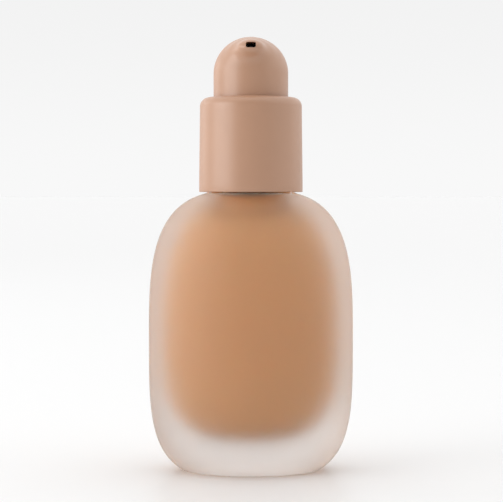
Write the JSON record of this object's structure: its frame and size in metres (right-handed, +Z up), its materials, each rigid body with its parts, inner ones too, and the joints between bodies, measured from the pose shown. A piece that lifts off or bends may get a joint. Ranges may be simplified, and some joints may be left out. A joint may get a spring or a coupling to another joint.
{
  "type": "foundation bottle",
  "caption": "Oval frosted glass bottle of liquid foundation with a screw-on sleeved dispensing pump and a domed press head with a short spout.",
  "frame": {"origin": "centre of the bottle's base, on the surface it stands on", "axes": "+Z up the bottle's axis, -Y towards the front, where the spout points, +X to the viewer's right"},
  "size_m": [0.048, 0.0346, 0.1016],
  "materials": {
    "glass": "acid-frosted clear glass",
    "foundation": "opaque liquid",
    "gasket": "soft foam",
    "natural_plastic": "natural moulded polypropylene",
    "steel": "polished stainless steel",
    "nude_plastic": "satin-matt moulded nude plastic"
  },
  "bodies": {
    "vial": {"bottle": "glass", "foundation_fill": "foundation"},
    "pump": {"pump_housing": "natural_plastic", "stem_guide": "natural_plastic", "dip_tube": "natural_plastic", "neck_gasket": "gasket", "return_spring": "steel"},
    "closure": {"screw_closure": "natural_plastic", "collar_sleeve": "nude_plastic"},
    "plunger": {"stem": "natural_plastic", "stem_plug": "natural_plastic"},
    "seal": {"piston": "natural_plastic"},
    "head": {"actuator_core": "natural_plastic", "actuator_head": "nude_plastic"},
    "ball": {"inlet_ball": "steel"}
  },
  "joints": [
    {"name": "pump_lift", "type": "slide", "parent": "vial", "child": "pump", "axis": [0, 0, 1], "range_m": [0, 0.004]},
    {"name": "closure_turn", "type": "hinge", "parent": "pump", "child": "closure", "pos_m": [0, 0, 0.07], "axis": [0, 0, 1], "range_deg": [0, 450]},
    {"name": "pump_stroke", "type": "slide", "parent": "pump", "child": "plunger", "axis": [0, 0, -1], "range_m": [0, 0.005], "stiffness_N_per_m": 900, "springref_m": -0.005, "deforming": ["return_spring"]},
    {"name": "head_swivel", "type": "hinge", "parent": "plunger", "child": "head", "pos_m": [0, 0, 0.09], "axis": [0, 0, 1], "continuous": true},
    {"name": "piston_slip", "type": "slide", "parent": "plunger", "child": "seal", "axis": [0, 0, 1], "range_m": [0, 0.0008]},
    {"name": "ball_lift", "type": "slide", "parent": "pump", "child": "ball", "axis": [0, 0, 1], "range_m": [0, 0.0008]}
  ],
  "couplings": [
    {"joint": "pump_lift", "follows": "closure_turn", "m_per_rad": 0.00050532}
  ]
}
